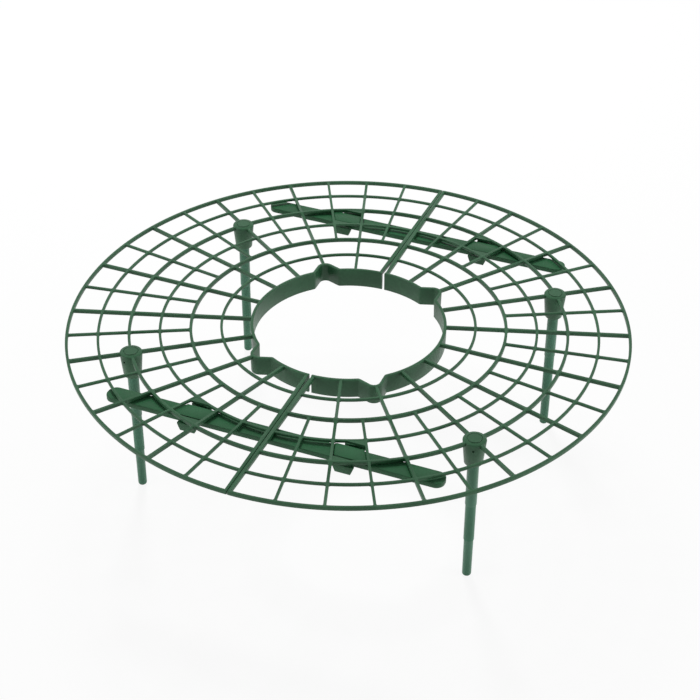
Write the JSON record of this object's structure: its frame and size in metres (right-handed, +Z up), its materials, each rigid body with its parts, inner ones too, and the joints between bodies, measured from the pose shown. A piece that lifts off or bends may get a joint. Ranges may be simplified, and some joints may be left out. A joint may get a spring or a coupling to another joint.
{
  "type": "strawberry plant support",
  "caption": "Round openwork plastic grid on plug-in legs, made of two halves round a notched plant opening and tied by straight joining bars, holding leaves and fruit off the soil.",
  "frame": {"origin": "on the ground plane through the leg tips, under the centre of the grid", "axes": "+Z up; Y runs along the seam between the halves, with the front joining bar at -Y; the right half lies at +X"},
  "size_m": [0.3, 0.3, 0.09],
  "materials": {
    "grid_half_right": "moulded polypropylene, satin",
    "grid_half_left": "moulded polypropylene, satin",
    "joining_bar_front": "moulded polypropylene, satin",
    "joining_bar_back": "moulded polypropylene, satin",
    "leg_front_right": "moulded polypropylene, satin",
    "leg_front_left": "moulded polypropylene, satin",
    "leg_back_right": "moulded polypropylene, satin",
    "leg_back_left": "moulded polypropylene, satin"
  },
  "bodies": {
    "half_left": {"grid_half_left": "grid_half_left"},
    "half_right": {"grid_half_right": "grid_half_right"},
    "bar_front": {"joining_bar_front": "joining_bar_front"},
    "bar_back": {"joining_bar_back": "joining_bar_back"},
    "leg_front_right": {"leg_front_right": "leg_front_right"},
    "leg_front_left": {"leg_front_left": "leg_front_left"},
    "leg_back_right": {"leg_back_right": "leg_back_right"},
    "leg_back_left": {"leg_back_left": "leg_back_left"}
  },
  "joints": [
    {"name": "half_right_lift", "type": "slide", "parent": "half_left", "child": "half_right", "axis": [0, 0, 1], "range_m": [0, 0.012]},
    {"name": "bar_front_unclip", "type": "slide", "parent": "half_left", "child": "bar_front", "axis": [0, 0, -1], "range_m": [0, 0.012]},
    {"name": "bar_back_unclip", "type": "slide", "parent": "half_left", "child": "bar_back", "axis": [0, 0, -1], "range_m": [0, 0.012]},
    {"name": "leg_front_right_pull", "type": "slide", "parent": "half_right", "child": "leg_front_right", "axis": [0, 0, -1], "range_m": [0, 0.0118]},
    {"name": "leg_back_right_pull", "type": "slide", "parent": "half_right", "child": "leg_back_right", "axis": [0, 0, -1], "range_m": [0, 0.0118]},
    {"name": "leg_front_left_pull", "type": "slide", "parent": "half_left", "child": "leg_front_left", "axis": [0, 0, -1], "range_m": [0, 0.0118]},
    {"name": "leg_back_left_pull", "type": "slide", "parent": "half_left", "child": "leg_back_left", "axis": [0, 0, -1], "range_m": [0, 0.0118]}
  ]
}
